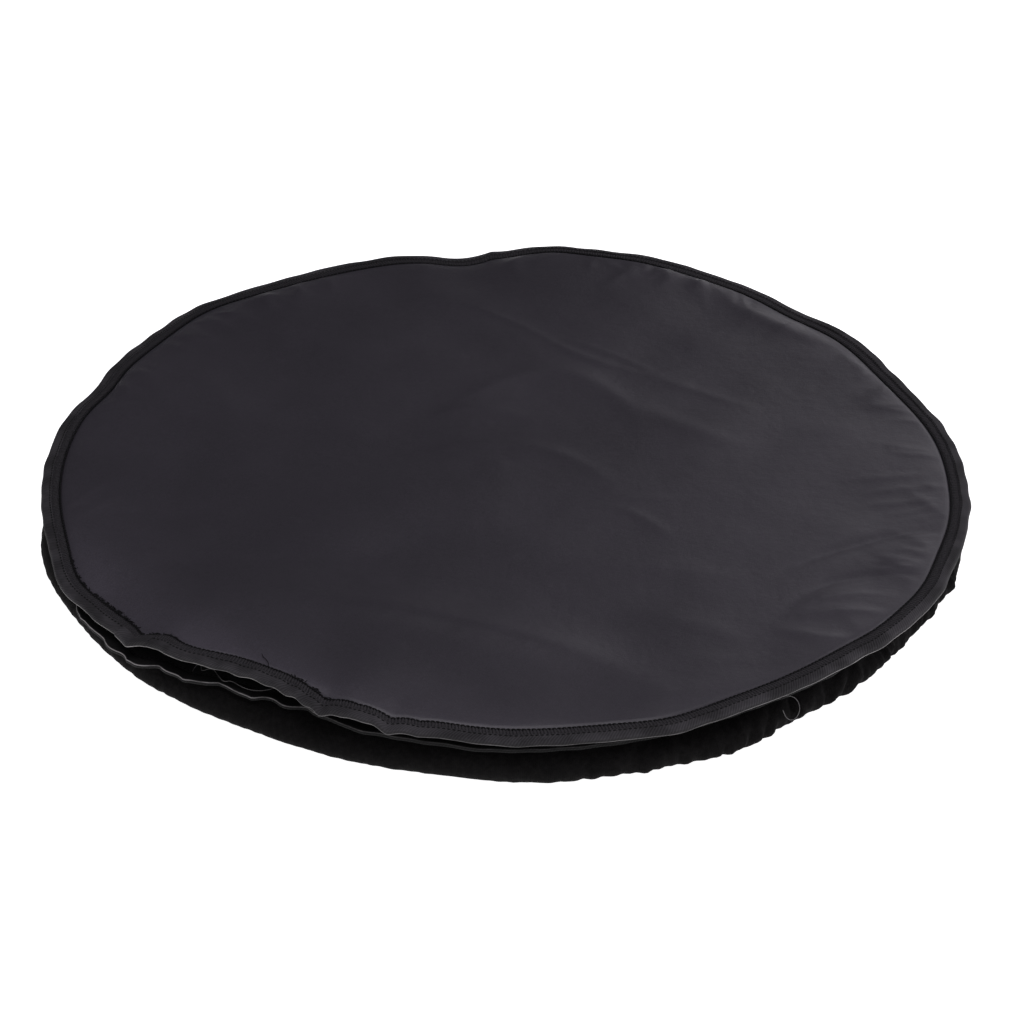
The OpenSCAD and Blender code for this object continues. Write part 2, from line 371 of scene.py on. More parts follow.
def ring_piece(name, points, material, length, girth):
    """A closed ring from points[around, along the section], whose UV map holds real lengths."""
    around, section = points.shape[:2]
    uvs = length_map(np.arange(around + 1) * length / around, girth)
    return mesh_object(name, points, [grid_faces(around, section, True, True)], material, [uvs])


def arc_piece(name, points, material, length, girth):
    """Like ring_piece, for a stretch of a ring: its two cut ends are closed by flat faces."""
    around, section = points.shape[:2]
    k = np.arange(section // 2 - 1)
    cap = np.stack([k, k + 1, section - 2 - k, section - 1 - k], -1)
    caps = [cap, (around - 1) * section + cap[:, ::-1]]
    uvs = [length_map(np.linspace(0, length, around), girth)]
    uvs += [np.stack([0 * c, girth[c % section]], -1) for c in caps]
    return mesh_object(name, points, [grid_faces(around, section, False, True)] + caps, material, uvs)


def section_loop(path, thickness):
    """Closed section of a cloth that follows an open path of (radius, level) points: half the
    thickness to one side of it on the way out and to the other on the way back, its ends rounded.
    Returns the loop and the running length along it."""
    path = np.asarray(path, float)
    tangent = unit(np.gradient(path, axis=0))
    normal = np.stack([-tangent[:, 1], tangent[:, 0]], -1)
    half = np.full((len(path), 1), thickness / 2)
    half[[0, -1]] *= 0.55
    loop = np.concatenate([path + normal * half, (path - normal * half)[::-1]])
    return loop, running_length(loop)


def beads(name, centre, along, up, half_length, half_width, half_height, arch, material, rows=6, sides=6):
    """Short threads, one at each centre: a tube whose half width and half height shrink to the ends
    as the square root of 1 - t^4, with t from -1 to 1 along it, and whose ends dip by arch."""
    centre, along, up = (np.asarray(a, float) for a in (centre, along, up))
    along = unit(along)
    side = unit(np.cross(up, along))
    t = np.linspace(-0.97, 0.97, rows)[None, :, None, None]
    fat = np.sqrt(1 - t ** 4)
    turn = (np.arange(sides) * TAU / sides)[None, None, :, None]
    spread = [a[:, None, None, :] for a in (centre, along, side, up)]
    points = (spread[0] + spread[1] * t * half_length + spread[2] * fat * np.cos(turn) * half_width
              + spread[3] * (fat * np.sin(turn) * half_height - arch * t ** 2))
    count = len(centre)
    start = (np.arange(count) * rows * sides)[:, None, None]
    tube = (grid_faces(rows, sides, False, True)[None] + start).reshape(-1, 4)
    ends = np.stack([np.arange(sides)[::-1], (rows - 1) * sides + np.arange(sides)])
    ends = (ends[None] + start).reshape(-1, sides)
    return mesh_object(name, points, [tube, ends], material)


def strand(name, controls, radius, material):
    """A loose thread: a round tube along a curve. The curve is the controls' line (mm) with its
    corners cut three times, each cut keeping a quarter and three quarters of every stretch."""
    line = np.array(controls, float) * MM
    for _ in range(3):
        line = np.concatenate([line[:1], np.stack([line[:-1] * 0.75 + line[1:] * 0.25,
                               line[:-1] * 0.25 + line[1:] * 0.75], 1).reshape(-1, 3), line[-1:]])
    along = unit(np.gradient(line, axis=0))
    side = unit(np.cross(along, [0.28, 0.16, 0.95]))
    across = np.cross(side, along)
    sides = 6
    turn = (np.arange(sides) * TAU / sides)[None, :, None]
    points = line[:, None] + radius * (np.cos(turn) * side[:, None] + np.sin(turn) * across[:, None])
    ends = np.stack([np.arange(sides)[::-1], (len(line) - 1) * sides + np.arange(sides)])
    return mesh_object(name, points, [grid_faces(len(line), sides, False, True), ends], material)


def stitch_row(where, count, rho, level, shift=0.0):
    """Centres, directions, upward normals and outward lines of count stitches round a flange."""
    theta = (np.arange(count) + shift) * TAU / count
    step = 0.25 * TAU / count
    centre = where(theta, rho, level)
    along = where(theta + step, rho, level) - where(theta - step, rho, level)
    out = where(theta, rho + 0.5 * MM, level) - where(theta, rho - 0.5 * MM, level)
    up = np.cross(out, along)
    return centre, along, unit(up), out


def both_faces_of_tape(where, count, rho, half_height):
    """Centres, directions and normals of the stitches on a tape's two faces, sunk a little in."""
    level = half_height - 0.02 * MM
    top = stitch_row(where, count, rho, level, 0.5)
    low = stitch_row(where, count, rho, -level, 0.2)
    pairs = (top[0], low[0]), (top[1], low[1]), (top[2], -low[2])
    return [np.concatenate(pair) for pair in pairs]


def seat(body, rows):
    """Rides pieces on a body. Each row is a piece, the CAD pieces that it stands for, and its slot, which is
    not used.
    """
    for piece, nodes, slot in rows:
        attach(piece, body)
        if nodes:
            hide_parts(*nodes)


# ---- Materials ----

class Value:
    """A socket of a material's nodes. Arithmetic on it adds Math nodes."""

    def __init__(self, shader, socket):
        self.shader = shader
        self.socket = socket

    def _maths(self, operation, first, second=None):
        """Adds a Math node for one or two values."""
        inputs = {0: first} if second is None else {0: first, 1: second}
        return self.shader.add("ShaderNodeMath", {"operation": operation}, inputs)

    def __add__(self, other):
        return self._maths("ADD", self, other)

    def __sub__(self, other):
        return self._maths("SUBTRACT", self, other)

    def __rsub__(self, other):
        return self._maths("SUBTRACT", other, self)

    def __mul__(self, other):
        return self._maths("MULTIPLY", self, other)

    def __truediv__(self, other):
        return self._maths("DIVIDE", self, other)

    def __pow__(self, other):
        return self._maths("POWER", self, other)

    def __abs__(self):
        return self._maths("ABSOLUTE", self)

    def sine(self):
        """The sine of the value, in radians."""
        return self._maths("SINE", self)

    def step(self, low, high):
        """0 below low and 1 above high, smooth between them."""
        inputs = {"Value": self, "From Min": low, "From Max": high}
        return self.shader.add("ShaderNodeMapRange", {"interpolation_type": "SMOOTHSTEP"}, inputs)

    __radd__ = __add__
    __rmul__ = __mul__


class Shader:
    """A material whose nodes are added one at a time, round one Principled surface."""

    def __init__(self, name):
        self.material = bpy.data.materials.new(name)
        self.material.use_nodes = True
        self.tree = self.material.node_tree
        self.surface = self.tree.nodes["Principled BSDF"]

    def add(self, kind, settings=None, inputs=None, output=0):
        """Adds a node of this kind, with its settings and then its inputs, and returns an output."""
        node = self.tree.nodes.new(kind)
        for key, value in (settings or {}).items():
            setattr(node, key, value)
        for key, value in (inputs or {}).items():
            self.feed(node.inputs[key], value)
        return Value(self, node.outputs[output])

    def feed(self, socket, value):
        """Links a value to an input, or sets the input to a number or a colour."""
        if isinstance(value, Value):
            self.tree.links.new(value.socket, socket)
        else:
            socket.default_value = value

    def finish(self, **inputs):
        """Feeds the surface: each keyword is an input's name with underscores for spaces."""
        for key, value in inputs.items():
            self.feed(self.surface.inputs[key.replace("_", " ")], value)
        return self.material

    def mix(self, factor, first, second):
        """The first colour where the factor is 0, and the second where it is 1."""
        inputs = {0: factor, 6: rgba(first), 7: rgba(second)}
        return self.add("ShaderNodeMix", {"data_type": "RGBA"}, inputs, 2)

    def shade(self, tone, colour, dark, pale):
        """The colour times dark where the tone is 0, and times pale where it is 1."""
        return self.mix(tone, [c * dark for c in colour], [c * pale for c in colour])

    def noise(self, where, scale, detail=2.0, roughness=0.5):
        """Cloudy noise of about 0 to 1, with scale blotches a metre."""
        inputs = {"Vector": where, "Scale": scale, "Detail": detail, "Roughness": roughness}
        return self.add("ShaderNodeTexNoise", None, inputs)

    def place(self):
        """Object coordinates as a vector."""
        return self.add("ShaderNodeTexCoord", output="Object")

    def along(self):
        """The UV map, in metres along and across the cloth, as a vector."""
        return self.add("ShaderNodeTexCoord", output="UV")

    def split(self, vector):
        """The three parts of a vector."""
        node = self.tree.nodes.new("ShaderNodeSeparateXYZ")
        self.feed(node.inputs[0], vector)
        return [Value(self, out) for out in node.outputs]

    def bump(self, height, distance, strength=1.0, normal=None):
        """A normal tilted as if the surface rose by distance where the height is 1."""
        inputs = {"Height": height, "Distance": distance, "Strength": strength}
        if normal is not None:
            inputs["Normal"] = normal
        return self.add("ShaderNodeBump", None, inputs)


def rgba(colour):
    """A plain colour with an alpha of 1 added. A Value is left as it is."""
    return colour if isinstance(colour, Value) else (*colour[:3], 1.0)


def coated_cloth(name, colour, roughness):
    """Tightly woven cloth under a thin satin coating: the weave shows faintly through, with slow changes of
    tone and fine crumples. Towards the rim at the front left it is painted paler, a painted highlight that
    stands in for light on the rim's slope."""
    shader = Shader(name)
    where = shader.place()
    x, y, z = shader.split(where)
    pitch = TAU / bpy.context.scene.cover_shape.weave_pitch
    stray = shader.noise(where, 90, 2) * 2.2
    weave = (x * pitch + stray).sine() * (y * pitch + stray + z * pitch).sine()
    cloud = shader.noise(where, 7, 3, 0.55)
    fleck = shader.noise(where, 900, 1)
    crumple = shader.noise(where, 46, 4, 0.6)
    tone = cloud.step(0.3, 0.7) * 0.4 + weave * 0.26 + (fleck - 0.5) * 1.5 + 0.3
    # Painted highlight: the tone is raised towards the rim at the front left, standing in for light on the
    # slope there.
    edge = ((x * x + y * y) ** 0.5).step(0.265, 0.34) * (x * -0.6 + y * -0.8).step(0.23, 0.33)
    tone = tone + edge * (0.5 + cloud * 0.9)
    first = shader.bump(crumple, 0.0011, 0.5)
    normal = shader.bump(weave * 0.5 + fleck * 0.5, 0.00008, 0.7, first)
    # This paler colour serves both the random pale flecks and the painted highlight at the front-left rim.
    fleck_and_highlight_colour = [c * 2.1 for c in colour]
    body = shader.shade(tone, colour, 0.78, 1.24)
    return shader.finish(Base_Color=shader.mix(tone - 1, body, fleck_and_highlight_colour), Normal=normal,
                         Roughness=roughness + (cloud - 0.5) * 0.10 + weave * 0.03,
                         Specular_IOR_Level=0.42)


def twill_tape(name, colour, fold_highlight_colour, fold_at, fold_width, front, right):
    """Twill binding tape: slanting ribs along it, darker between them, and a soft nap. Where it folds round
    the edge, fold_at metres across it, the tape is painted pale, a painted highlight, with painted shade on
    both sides of it. The highlight is full at the left, and has the shares front and right of that in those
    places."""
    shader = Shader(name)
    along, across, _ = shader.split(shader.along())
    where = shader.place()
    rib = TAU / bpy.context.scene.cover_shape.twill_pitch
    stray = shader.noise(where, 120, 2)
    twill = ((along * 0.8 + across * 0.6) * rib + stray * 3.0).sine()
    yarn = ((along * 0.6 - across * 0.8) * rib * 2.1 + stray * 4.0).sine()
    patch = shader.noise(where, 26, 3, 0.6)
    ribs = twill * 0.35 + yarn * 0.1 + 0.5
    body = shader.shade(ribs * 0.5 + patch.step(0.38, 0.62) * 0.55, colour, 0.3, 1.75)
    gap = abs(across - fold_at + (patch - 0.5) * 0.0006)
    # Painted shade: the cloth is darkened on both sides of the fold, standing in for the shadow beside its
    # bead.
    body = shader.mix((1 - gap.step(0.0012, 0.0034)) * 0.75, body, [c * 0.25 for c in colour])
    # Painted highlight: the fold is painted pale, standing in for light caught by the folded edge; its share
    # changes from the left to the front and right.
    fold_highlight_band = 1 - gap.step(fold_width * 0.4, fold_width)
    x, _, _ = shader.split(where)
    amount = (-1 * x).step(0.04, 0.27) * (1 - front) + x.step(0.1, 0.3) * (right - front) + front
    fold_highlight_mask = fold_highlight_band * amount * (shader.noise(where, 70, 3, 0.6).step(0.34, 0.58) * 0.6 + 0.4)
    return shader.finish(Base_Color=shader.mix(fold_highlight_mask, body, fold_highlight_colour),
                         Normal=shader.bump(ribs, 0.00022, 0.9),
                         Roughness=0.86 - ribs * 0.1, Specular_IOR_Level=0.25)


def sewing_thread(name, colour):
    """Spun thread: slanting plies too fine to be cut into the mesh, and a dull nap."""
    shader = Shader(name)
    where = shader.place()
    x, y, z = shader.split(where)
    ply = ((x + y * 0.8 + z * 1.3) * (TAU / 0.0006)).sine()
    lint = shader.noise(where, 500, 2)
    tone = ply * 0.3 + lint * 0.6 + 0.15
    return shader.finish(Base_Color=shader.shade(tone, colour, 0.5, 1.7),
                         Normal=shader.bump(ply, 0.00008, 0.7), Roughness=0.8 + lint * 0.1,
                         Specular_IOR_Level=0.2)


def skirt_cloth(name, colour):
    """Matt stretchy knit of the skirt: fine ribs of knitting round it, a fuzzy nap that catches
    a little light at grazing angles, and uneven depth of dye."""
    shader = Shader(name)
    along, across, _ = shader.split(shader.along())
    where = shader.place()
    stray = shader.noise(where, 160, 2)
    wale = (along * (TAU / 0.0013) + stray * 2.4).sine()
    course = (across * (TAU / 0.0011) + stray * 2.4 + along * 900).sine()
    nap = shader.noise(where, 1300, 2, 0.7)
    cloud = shader.noise(where, 22, 3)
    knit = wale * 0.3 + course * 0.2 + 0.5
    tone = knit * 0.45 + nap * 0.3 + cloud * 0.25
    fuzz = shader.noise(where, 260, 4, 0.7)
    tone = tone * 0.6 + fuzz.step(0.35, 0.7) * 0.5
    first = shader.bump(fuzz, 0.0012, 0.6)
    return shader.finish(Base_Color=shader.shade(tone, colour, 0.4, 1.7),
                         Normal=shader.bump(knit * 0.6 + nap * 0.4, 0.00024, 0.9, first), Roughness=0.92,
                         Specular_IOR_Level=0.07)


def lining_cloth(name, colour):
    """Thin plain-weave lining, slightly slubbed."""
    shader = Shader(name)
    where = shader.place()
    x, y, _ = shader.split(where)
    stray = shader.noise(where, 60, 2) * 2.5
    weave = (x * (TAU / 0.0011) + stray).sine() * (y * (TAU / 0.0011) + stray).sine()
    slub = shader.noise(where, 300, 2) * 0.5 + shader.noise(where, 9, 3) * 0.5
    tone = weave * 0.25 + slub * 0.8
    return shader.finish(Base_Color=shader.shade(tone, colour, 0.6, 1.4),
                         Normal=shader.bump(weave * 0.5 + slub, 0.00012, 0.8), Roughness=0.8,
                         Specular_IOR_Level=0.25)


def wadding_felt(name, colour):
    """Non-woven wadding: matted fibres of uneven thickness."""
    shader = Shader(name)
    where = shader.place()
    fibres = shader.noise(where, 420, 5, 0.75)
    clump = shader.noise(where, 30, 3)
    return shader.finish(Base_Color=shader.shade(fibres * 0.6 + clump * 0.4, colour, 0.8, 1),
                         Normal=shader.bump(fibres + clump, 0.0006, 0.8), Roughness=0.95,
                         Specular_IOR_Level=0.1)


def braided_elastic(name, colour):
    """Braided elastic: close ribs along the band, crossed by the braid."""
    shader = Shader(name)
    where = shader.place()
    x, y, _ = shader.split(where)
    radius = (x * x + y * y) ** 0.5
    turn = shader.add("ShaderNodeMath", {"operation": "ARCTAN2"}, {0: y, 1: x})
    braid = (radius * (TAU / 0.0014)).sine() * 0.5 + (turn * 1100 + radius * 2600).sine() * 0.3 + 0.5
    return shader.finish(Base_Color=shader.shade(braid, colour, 0.7, 1),
                         Normal=shader.bump(braid, 0.0003, 0.9), Roughness=0.75)


def studio_floor(name, colour, glow):
    """Plain pale floor that shines white by itself, by the amount glow."""
    shader = Shader(name)
    mottle = shader.noise(shader.place(), 3, 2)
    return shader.finish(Base_Color=shader.shade(mottle, colour, 0.995, 1), Roughness=0.9,
                         Specular_IOR_Level=0.1, Emission_Color=(1, 1, 1, 1), Emission_Strength=glow)


def material(name, make, *values):
    """The named material, made on first use."""
    return bpy.data.materials.get(name) or make(name, *values)


# ---- Settings ----

def length_setting(name, description, default, low, high):
    """A length in metres that a user can change between low and high."""
    return bpy.props.FloatProperty(name=name, description=description, default=default, min=low,
                                   max=high, unit="LENGTH", subtype="DISTANCE", precision=5)


def colour_setting(name, description, default):
    """A colour that a user can change."""
    return bpy.props.FloatVectorProperty(name=name, description=description, default=default, min=0,
                                         max=1, subtype="COLOR")


class CoverShape(bpy.types.PropertyGroup):
    """Sizes that the builder of a cover would change."""
    panel_crown: length_setting("Panel crown", "Rise of the panel from its seam to its middle",
                                0.0015, 0, 0.01)
    panel_puff: length_setting("Panel puff", "Rise of the wadded panel right beside its seam",
                               0.0028, 0, 0.006)
    weave_pitch: length_setting("Weave pitch", "Distance between the threads of the coated cloth",
                                0.0016, 0.0005, 0.003)
    twill_pitch: length_setting("Twill pitch", "Distance between the ribs of the tape",
                                0.0018, 0.0005, 0.004)
    rib_pitch: length_setting("Overlock pitch", "Distance between the overlock threads",
                              0.0024, 0.0015, 0.004)
    stitch_pitch: length_setting("Stitch length", "Length of one stitch and its gap", 0.0036, 0.002, 0.006)
    gather_depth: length_setting("Gather depth", "Depth of the skirt's gathers", 0.0022, 0, 0.005)


class CoverColours(bpy.types.PropertyGroup):
    """Colours of the cloths and threads."""
    coated: colour_setting("Coated cloth", "Front panel", (0.0315, 0.0285, 0.0355))
    band: colour_setting("Side band", "Folded side band", (0.004, 0.004, 0.0042))
    tape: colour_setting("Binding tape", "Tape of the front seam", (0.027, 0.0255, 0.028))
    rear_tape: colour_setting("Rear tape", "Tape of the back seam", (0.0020, 0.0020, 0.0020))
    # The pale fold colour is a painted highlight on the tape's folded edge.
    tape_fold_highlight: colour_setting("Highlighted fold", "Highlit fold of the tape", (0.26, 0.25, 0.25))
    thread: colour_setting("Thread", "All sewing thread", (0.0035, 0.0035, 0.004))
    overlock: colour_setting("Overlock thread", "Thread over the raw edges", (0.028, 0.0265, 0.029))
    loose: colour_setting("Loose thread", "Thread ends left in the slit", (0.11, 0.107, 0.107))
    skirt: colour_setting("Skirt", "Back skirt and hem casing", (0.0050, 0.0047, 0.0047))
    lining: colour_setting("Lining", "Lining behind the panel", (0.020, 0.020, 0.022))
    wadding: colour_setting("Wadding", "Padding under the panel", (0.62, 0.62, 0.60))
    elastic: colour_setting("Elastic", "Elastic band in the hem", (0.62, 0.62, 0.60))
    floor: colour_setting("Floor", "Studio floor", (0.93, 0.93, 0.93))


def thread_material():
    """The dark thread of all seams."""
    return material("sewing_thread", sewing_thread, bpy.context.scene.cover_colours.thread)


# ---- Pieces ----

# Soft boxes: name, place and width (metres), power (watts)
LAMPS = [
    ("key", (1.3, 2.1, 1.0), 1.6, 8), ("top", (0.0, -0.6, 2.1), 1.6, 23),
    ("right", (2.1, 0.4, 0.8), 1.2, 14), ("left", (-2.1, 0.2, 0.8), 1.2, 2),
    ("front", (1.3, -1.3, 0.8), 1.0, 4), ("fill", (-1.0, -1.5, 1.0), 1.3, 3),
]


class COVER_OT_stage(bpy.types.Operator):
    """Floor, soft studio light and the camera"""
    bl_idname = "cover.stage"
    bl_label = "Stage and camera"

    def execute(self, context):
        colours = context.scene.cover_colours
        half_floor = 6.0
        grid = np.linspace(-half_floor, half_floor, 3)
        x, y = np.meshgrid(grid, grid, indexing="ij")
        points = np.stack([x, y, 0 * x - 0.3 * MM], -1)
        faces = grid_faces(3, 3)[:, ::-1]
        floor = mesh_object("studio_floor", points, [faces],
                            material("studio_floor", studio_floor, colours.floor, 1.0))
        world = bpy.data.worlds.new("studio")
        world.use_nodes = True
        sky = world.node_tree.nodes["Background"]
        sky.inputs["Color"].default_value = (0.95, 0.96, 1.0, 1)
        sky.inputs["Strength"].default_value = 0.05
        context.scene.world = world
        for row in LAMPS:
            self.lamp(*row)
        self.camera(context)
        context.scene.view_settings.view_transform = "Standard"
        return {"FINISHED"}

    def lamp(self, name, place, size, power):
        """A square soft box at place, turned to the object."""
        data = bpy.data.lights.new(name, "AREA")
        data.size = size
        data.energy = power
        data.color = (1.0, 0.965, 1.03)
        lamp = bpy.data.objects.new(name, data)
        lamp.location = place
        lamp.rotation_euler = (-Vector(place)).to_track_quat("-Z", "Y").to_euler()
        bpy.context.collection.objects.link(lamp)

    def camera(self, context):
        """A long lens that looks down on the cover from the front."""
        data = bpy.data.cameras.new("camera")
        data.lens = 101.8
        data.sensor_width = 36
        elevation, distance = math.radians(32.9), 2.2
        aim = Vector((0.0059, -0.0677, 0.040))
        back = Vector((0, -math.cos(elevation), math.sin(elevation)))
        camera = bpy.data.objects.new("camera", data)
        camera.location = aim + back * distance
        camera.rotation_euler = (-back).to_track_quat("-Z", "Y").to_euler()
        bpy.context.collection.objects.link(camera)
        context.scene.camera = camera


def panel_radii(edge):
    """Radii of the panel's rings: wide steps inside, close ones near the seam."""
    fine = FRONT_SEAM + np.array([-9, -6.5, -4.6, -3.1, -1.9, -0.9, 0, 0.9, 1.9, 3.4, 6, 9.5]) * MM
    share = np.linspace(0, 1, 90)
    main = (1.25 * share - 0.25 * share ** 2) * (fine[0] - 3 * MM)
    return np.concatenate([main, fine, [edge]])


def close_discs(name, upper, lower, cloth):
    """A closed piece between two discs of points, their rims joined."""
    size = upper.shape[0]
    points = np.concatenate([upper.reshape(-1, 3), lower.reshape(-1, 3)])
    faces = grid_faces(size, size)
    number = np.arange(size * size).reshape(size, size)
    rim = np.concatenate([number[0, :-1], number[:-1, -1], number[-1, :0:-1], number[:0:-1, 0]])
    other = np.roll(rim, -1)
    wall = np.stack([other, rim, rim + size * size, other + size * size], -1)
    return mesh_object(name, points, [faces, faces[:, ::-1] + size * size, wall], cloth)


class COVER_OT_front_panel(bpy.types.Operator):
    """The wadded front panel: coated outer ply, wadding and lining"""
    bl_idname = "cover.front_panel"
    bl_label = "Front panel"

    def execute(self, context):
        colours = context.scene.cover_colours
        ply_level, lining_level = PLY_TOP, LINING_LOW + 0.6 * MM

        def outer_face(x, y, rho, theta):
            return ply_level + panel_height(x, y, rho, theta)

        def lining_face(x, y, rho, theta):
            inner = np.clip(FRONT_SEAM - rho, 0, None)
            slack = 0.5 * MM * swell(x, y, 31, 30, 0.04, 0.12) * smooth(inner, 0, 40 * MM)
            flange = FLANGE_LINING - lining_level
            return lining_level + slack + flange * smooth(-inner, -9 * MM, 0)

        coated = material("coated_cloth", coated_cloth, colours.coated, 0.43)
        lined = material("lining_cloth", lining_cloth, colours.lining)
        ply = bent_disc(panel_radii(PANEL_EDGE), outer_face)
        panel = close_discs("front_panel_cloth", ply, ply - [0, 0, PLY_THICKNESS], coated)
        back = bent_disc(np.linspace(0, PANEL_EDGE, 73), lining_face)
        lining = close_discs("panel_lining_cloth", back, back - [0, 0, LINING_THICKNESS], lined)
        wadding = self.wadding(colours, outer_face, lining_face)
        seat("front", [(panel, ["front_panel"], "coated_fabric"), (lining, ["panel_lining"], "lining"),
                       (wadding, ["panel_wadding"], "wadding")])
        2 * PANEL_EDGE
        2 * PANEL_EDGE
        math.pi * PANEL_EDGE ** 2
        return {"FINISHED"}

    def wadding(self, colours, outer_face, lining_face):
        """Fills the space between ply and lining, and thins out to an edge just inside the seam."""
        radii = np.linspace(0, WADDING_EDGE, 61)

        def top(x, y, rho, theta):
            high = outer_face(x, y, rho, theta) - 1.3 * MM
            low = lining_face(x, y, rho, theta) + 0.3 * MM
            full = smooth(-rho, -WADDING_EDGE, -(FRONT_SEAM - 30 * MM))
            return low + np.maximum(high - low, 0.3 * MM) * (0.25 + 0.75 * full)

        def bottom(x, y, rho, theta):
            return lining_face(x, y, rho, theta) + 0.25 * MM

        felt = material("wadding_felt", wadding_felt, colours.wadding)
        return close_discs("panel_wadding_pad", bent_disc(radii, top), bent_disc(radii, bottom), felt)


def tape_section(edge, width, half_height, thickness):
    """Section of a tape folded round a flange: in along the top, round the fold and back below. A
    low bead stands out where the fold turns under."""
    bend = half_height - thickness / 2
    flat = np.linspace(0, width - bend, 6)[:-1]
    turn = np.linspace(math.pi / 2, -math.pi / 2, 11)
    reach_out = edge - thickness / 2 - bend
    bead = 0.22 * MM * np.exp(-((np.degrees(turn) + 38) / 14) ** 2)
    top = np.stack([reach_out - flat[::-1] - (width - bend) / 6, np.full(5, bend)], -1)
    fold = np.stack([reach_out + (bend + bead) * np.cos(turn), (bend + bead) * np.sin(turn)], -1)
    path = np.concatenate([top, fold, top[::-1] * [1, -1]])
    return section_loop(path, thickness)


class COVER_OT_front_edge(bpy.types.Operator):
    """Tape, overlock and stitching round the front seam"""
    bl_idname = "cover.front_edge"
    bl_label = "Front edge"

    def execute(self, context):
        colours, shape = context.scene.cover_colours, context.scene.cover_shape
        half_height = (FRONT_TAPE[3] - FRONT_TAPE[2]) / 2
        loop, girth = tape_section(FRONT_EDGE, FRONT_EDGE - FRONT_TAPE[0], half_height, TAPE_THICKNESS)
        girdle = TAU * FRONT_EDGE
        # The tape gets a painted highlight on its fold and painted shade beside it.
        twill = material("twill_tape", twill_tape, colours.tape, colours.tape_fold_highlight,
                         girth[len(loop) // 4 + 2], 0.75 * MM, 0.4, 1.0)
        theta = np.arange(1080)[:, None] * TAU / 1080
        tape = ring_piece("front_tape", front_flange(theta, loop[:, 0], loop[:, 1]), twill, girdle, girth)
        lap = self.lap(loop, girth, twill)
        thread, grey = thread_material(), material("overlock_thread", sewing_thread, colours.overlock)
        count = int(girdle / shape.rib_pitch)
        centre, along, up, out = stitch_row(front_flange, count, FRONT_SEAM + 4.4 * MM, 1.25 * MM)
        slant = unit(out) + 0.16 * unit(along)
        ribs = beads("front_overlock_threads", centre, slant, up, 3.4 * MM, 1.06 * MM, 0.42 * MM,
                     0.2 * MM, grey)
        count = int(girdle / shape.stitch_pitch)
        centre, along, up, _ = stitch_row(front_flange, count, FRONT_SEAM + 0.3 * MM, 1.0 * MM)
        seam = beads("front_seam_stitches", centre, along, up, 1.75 * MM, 0.8 * MM, 0.5 * MM,
                     0.3 * MM, thread)
        rows = both_faces_of_tape(front_flange, count, FRONT_TAPE[0] + 1.0 * MM, half_height)
        topstitch = beads("front_tape_stitches", *rows, 1.7 * MM, 0.62 * MM, 0.4 * MM, 0.42 * MM, thread)
        tangle, tail = self.tangle(thread), self.tail(thread)
        seat("front", [(tape, ["front_binding"], "binding_tape"), (ribs, ["front_overlock"], "thread"),
                       (seam, ["front_seam_stitch"], "thread"), (topstitch, ["front_topstitch"], "thread"),
                       (lap, [], "binding_tape"), (tangle, [], "thread"), (tail, [], "thread")])
        2 * PANEL_EDGE
        2 * PANEL_EDGE
        math.pi * PANEL_EDGE ** 2
        return {"FINISHED"}

    def tangle(self, thread):
        """Untidy thread ends along two stretches of the seam, strewn across it at odd angles."""
        rng = np.random.default_rng(17)
        theta = np.radians(np.concatenate([rng.uniform(203, 227, 150), rng.uniform(243.5, 249.5, 36)]))
        count = len(theta)
        rho, level = FRONT_SEAM + rng.uniform(-2.4, 1.4, count) * MM, rng.uniform(0.7, 1.5, count) * MM
        centre = front_flange(theta, rho, level)
        heading = theta + math.pi / 2 + rng.normal(0, 0.7, count)
        along = np.stack([np.cos(heading), np.sin(heading), rng.normal(0, 0.15, count)], -1)
        up = np.tile([0.0, 0.0, 1.0], (count, 1))
        return beads("front_seam_tangle", centre, along, up, 2.3 * MM, 0.32 * MM, 0.26 * MM, 0.5 * MM,
                     thread)

    def tail(self, thread):
        """A thread end that stands off the seam and lies over the panel."""
        root = front_flange(np.array([math.radians(240)]), FRONT_SEAM + 0.6 * MM, 0.8 * MM)[0] / MM
        steps = np.array([(0, 0, 0), (0.5, 3, 1.6), (-2, 7, 2.2), (-4, 10, 1.6), (-5, 14, 1.4)])
        return strand("front_thread_tail", root + steps, LOOSE_RADIUS, thread)

    def lap(self, loop, girth, twill):
        """The tape's free end, lapped over its start: the same section a little larger, its cut
        end lifted and turned back."""
        start, end = math.radians(219.5), math.radians(224.5)
        theta = np.linspace(start, end, 22)[:, None]
        middle = loop.mean(0)
        wide = middle + (loop - middle) * [1.06, 1.22]
        lift = (1.6 * np.exp(-(np.degrees(theta - start) / 0.7) ** 2)) * MM
        points = front_flange(theta, wide[:, 0] + lift * 0.8, wide[:, 1] + lift)
        return arc_piece("front_tape_lap", points, twill, FRONT_EDGE * (end - start), girth)


